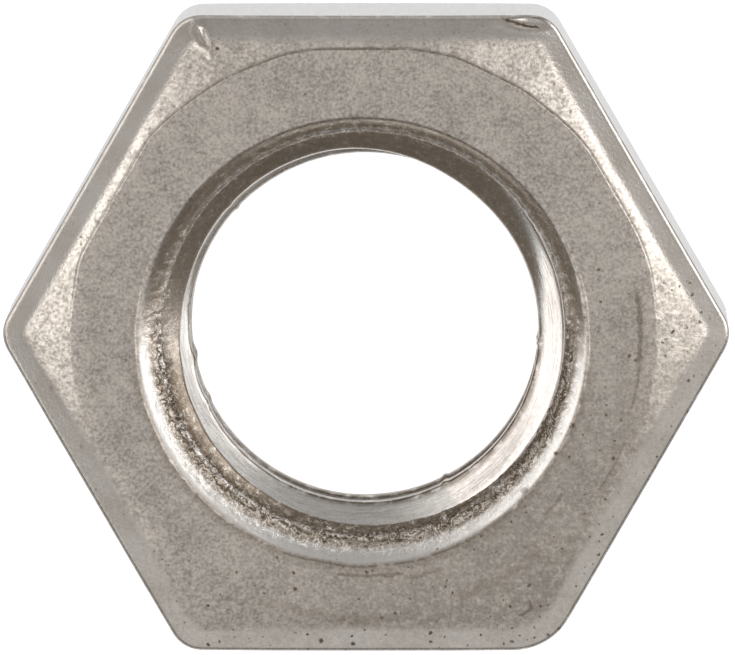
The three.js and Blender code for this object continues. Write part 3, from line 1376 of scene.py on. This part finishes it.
@dataclass
class Studio:
    """Pale floor, soft lamps, a quiet backdrop and the camera.

    Attributes:
        floor_reach: half width of the floor, in metres.
        camera_distance: from the nut to the camera, in metres.
        lean_away: how far the camera leans towards +Y, in degrees.
        lean_right: how far the camera leans towards +X, in degrees.
        frame_width: width of the view at the nut, in metres.
        aim: where the middle of the view lies on the nut's upper face, in metres.
        sensor: width of the camera's sensor, in millimetres.
        lamps: the two soft lamps.
        dome: brightness of the surroundings overhead.
        horizon: their brightness near the horizon.
        pale: brightness of the backdrop that the camera sees.
        panels: bright patches in the surroundings.
    """

    floor_reach: float = 1.2
    camera_distance: float = 0.42
    lean_away: float = 5.6
    lean_right: float = 0.75
    frame_width: float = 0.02186
    aim: tuple[float, float] = (0.000055, 0.000235)
    sensor: float = 36.0
    lamps: tuple[Softbox, ...] = (
        Softbox("left_softbox", 171.0, 25.0, 0.20, 0.13, 2.95),
        Softbox("right_softbox", 16.0, 25.0, 0.19, 0.14, 4.1),
    )
    dome: float = 0.42
    horizon: float = 0.1
    pale: float = 0.95
    panels: tuple[Panel, ...] = (
        Panel(0.0, 25.0, 180.0, 7.0, 0.16, 10.0),
        Panel(25.0, 79.0, 25.0, 10.0, 3.3, 10.0),
        Panel(85.0, 79.0, 30.0, 8.0, 0.65),
        Panel(150.0, 79.0, 28.0, 8.0, 1.3),
        Panel(165.0, 62.0, 46.0, 4.0, 1.3, 7.0),
        Panel(290.0, 56.0, 66.0, 12.0, 0.34, 14.0),
        Panel(0.0, 61.0, 9.0, 5.0, 0.45, 9.0),
    )

    def camera(self) -> bpy.types.Object:
        """Set up the camera above the nut."""
        lens = bpy.data.cameras.new("camera")
        lens.sensor_width = self.sensor
        lens.lens = self.sensor * self.camera_distance / self.frame_width
        lens.clip_start = 0.01
        lens.clip_end = 5.0
        back = Vector((math.tan(math.radians(self.lean_right)), math.tan(math.radians(self.lean_away)), 1)).normalized()
        aim = Vector((self.aim[0], self.aim[1], CAD_BOX[1].z))
        eye = bpy.data.objects.new("camera", lens)
        eye.matrix_world = framed(aim + back * self.camera_distance, Vector((1, 0, 0)), back)
        bpy.context.scene.collection.objects.link(eye)
        bpy.context.scene.camera = eye
        return eye

    def floor(self) -> bpy.types.Object:
        """Lay the pale floor just under the nut."""
        reach = self.floor_reach
        below = -0.00002
        corners = [(-reach, -reach, below), (reach, -reach, below), (reach, reach, below), (-reach, reach, below)]
        mesh = bpy.data.meshes.new("floor")
        mesh.from_pydata(corners, [], [(0, 1, 2, 3)])
        floor = bpy.data.objects.new("floor", mesh)
        bpy.context.scene.collection.objects.link(floor)
        paper = bpy.data.materials.new("pale_paper")
        paper.use_nodes = True
        shader = paper.node_tree.nodes["Principled BSDF"]
        shader.inputs["Base Color"].default_value = (0.25, 0.25, 0.25, 1)
        shader.inputs["Roughness"].default_value = 0.9
        shader.inputs["Specular IOR Level"].default_value = 0.0
        shader.inputs["Emission Color"].default_value = (1, 1, 1, 1)
        shader.inputs["Emission Strength"].default_value = 0.98
        mesh.materials.append(paper)
        return floor

    def backdrop(self) -> bpy.types.World:
        """Surround the nut with a grey dome and soft panels, and show the camera a plain pale one."""
        world = bpy.data.worlds.new("studio")
        bpy.context.scene.world = world
        world.use_nodes = True
        graph = Graph(world.node_tree)
        shade = world.node_tree.nodes["Background"]
        shade.inputs["Color"].default_value = (1, 1, 1, 1)
        x, y, z = graph.parted(graph.node("ShaderNodeTexCoord").outputs["Generated"])
        bearing = graph.math("DEGREES", graph.math("ARCTAN2", y, x))
        tilt = graph.math("DEGREES", graph.math("ARCCOSINE", z))
        glow = graph.math("MULTIPLY_ADD", graph.step(tilt, 76.0, 55.0), self.dome - self.horizon, self.horizon)
        for panel in self.panels:
            patch = graph.place(SoftPanel.group(), Bearing=bearing, Tilt=tilt, Middle=panel.bearing,
                                Half_Width=panel.half_width, Centre=panel.tilt, Half_Depth=panel.half_depth,
                                Soft=panel.soft).outputs[0]
            glow = graph.math("MULTIPLY_ADD", patch, panel.glow, glow)
        seen = graph.node("ShaderNodeLightPath").outputs["Is Camera Ray"]
        level = graph.math("MULTIPLY_ADD", seen, graph.math("SUBTRACT", self.pale, glow), glow)
        graph.feed(shade.inputs["Strength"], level)
        return world

    def build(self) -> None:
        """Set up everything around the nut."""
        scene = bpy.context.scene
        scene.view_settings.view_transform = "Standard"
        target = Vector((0, 0, CAD_BOX[1].z))
        self.camera()
        self.floor()
        self.backdrop()
        for lamp in self.lamps:
            lamp.build(target)
        LOG.info("studio: %d lamps", len(self.lamps))


def main() -> None:
    """Build the studio and the nut."""
    logging.basicConfig(level=logging.INFO, format="%(name)s: %(message)s")
    Studio().build()
    HexNut().build(StainlessSteel())


if __name__ == "__main__":
    main()
